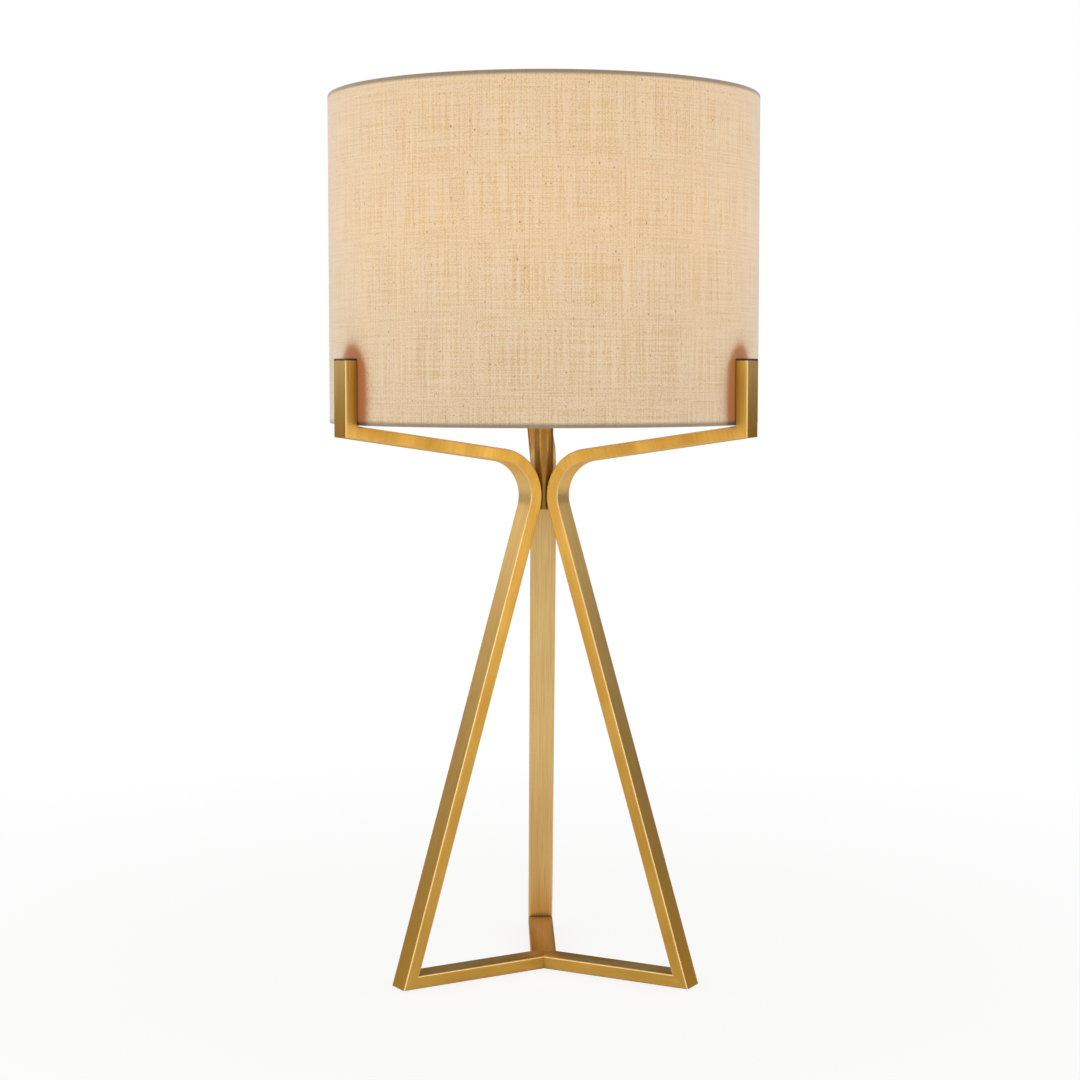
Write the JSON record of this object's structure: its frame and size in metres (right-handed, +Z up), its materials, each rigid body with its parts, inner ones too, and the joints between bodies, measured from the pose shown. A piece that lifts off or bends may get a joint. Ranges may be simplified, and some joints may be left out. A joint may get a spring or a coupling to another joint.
{
  "type": "tripod table lamp",
  "caption": "Table lamp on three bent brass-finish tube legs, with a linen drum shade held between their uprights, a harp, a rotary-switch lampholder and a bulb.",
  "frame": {"origin": "the lamp's axis on the surface it stands on", "axes": "+Z up; the rear leg runs out along +Y, so the front is -Y; +X to the right seen from the front"},
  "size_m": [0.354, 0.3649, 0.7257],
  "materials": {
    "brass_paint": "satin brushed brass lacquer",
    "black_plastic": "moulded",
    "pad_rubber": "matte",
    "zinc_wire": "white coated wire",
    "zinc_steel": "zinc plated",
    "harp_metal": "brass plated steel",
    "socket_brass": "pressed brass",
    "fibre_liner": "fibre",
    "phenolic": "moulded phenolic",
    "nickel_shell": "plated",
    "black_glass": "glazed",
    "white_plastic": "moulded",
    "led_board": "white mask",
    "opal_plastic": "opal diffuser",
    "linen": "oatmeal plain weave",
    "styrene": "sheet",
    "finial_brass": "satin"
  },
  "bodies": {
    "base": {"left_base_bar": "brass_paint", "left_leg": "brass_paint", "left_upright": "brass_paint", "left_end_cap": "black_plastic", "left_foot_pad": "pad_rubber", "right_base_bar": "brass_paint", "right_leg": "brass_paint", "right_upright": "brass_paint", "right_end_cap": "black_plastic", "right_foot_pad": "pad_rubber", "rear_base_bar": "brass_paint", "rear_leg": "brass_paint", "rear_upright": "brass_paint", "rear_end_cap": "black_plastic", "rear_foot_pad": "pad_rubber", "cord_grommet": "black_plastic", "stem": "brass_paint", "stem_bottom_cap": "brass_paint", "threaded_nipple": "zinc_steel", "check_ring": "brass_paint", "lock_nut": "zinc_steel", "harp_saddle": "harp_metal", "socket_cap": "socket_brass", "socket_shell": "socket_brass", "socket_liner": "fibre_liner", "socket_body": "phenolic", "socket_screw_shell": "socket_brass", "socket_contact": "socket_brass", "terminal_screws": "socket_brass"},
    "switch": {"switch_shaft": "zinc_steel", "switch_knob": "phenolic"},
    "bulb": {"bulb_contact": "nickel_shell", "bulb_insulator": "black_glass", "bulb_cap": "nickel_shell", "bulb_housing": "white_plastic", "bulb_led_plate": "led_board", "bulb_diffuser": "opal_plastic"},
    "harp": {"harp": "harp_metal", "harp_stud": "harp_metal"},
    "left_ferrule": {"left_harp_ferrule": "harp_metal"},
    "right_ferrule": {"right_harp_ferrule": "harp_metal"},
    "shade": {"shade_cover": "linen", "shade_liner": "styrene", "top_ring": "zinc_wire", "bottom_ring": "zinc_wire", "spider_hub": "zinc_wire", "left_spider_spoke": "zinc_wire", "right_spider_spoke": "zinc_wire", "rear_spider_spoke": "zinc_wire"},
    "finial": {"finial": "finial_brass"}
  },
  "joints": [
    {"name": "shade_lift", "type": "slide", "parent": "harp", "child": "shade", "axis": [0, 0, 1], "range_m": [0, 0.28]},
    {"name": "finial_turn", "type": "hinge", "parent": "shade", "child": "finial", "pos_m": [0, 0, 0.705], "axis": [0, 0, 1], "continuous": true},
    {"name": "harp_lift", "type": "slide", "parent": "base", "child": "harp", "axis": [0, 0, 1], "range_m": [0, 0.16]},
    {"name": "left_ferrule_slide", "type": "slide", "parent": "harp", "child": "left_ferrule", "axis": [0, 0, 1], "range_m": [0, 0.016]},
    {"name": "right_ferrule_slide", "type": "slide", "parent": "harp", "child": "right_ferrule", "axis": [0, 0, 1], "range_m": [0, 0.016]},
    {"name": "bulb_unscrew", "type": "slide", "parent": "base", "child": "bulb", "axis": [0, 0, 1], "range_m": [0, 0.026]},
    {"name": "switch_turn", "type": "hinge", "parent": "base", "child": "switch", "pos_m": [0, -0.02, 0.5431], "axis": [0, -1, 0], "continuous": true}
  ]
}
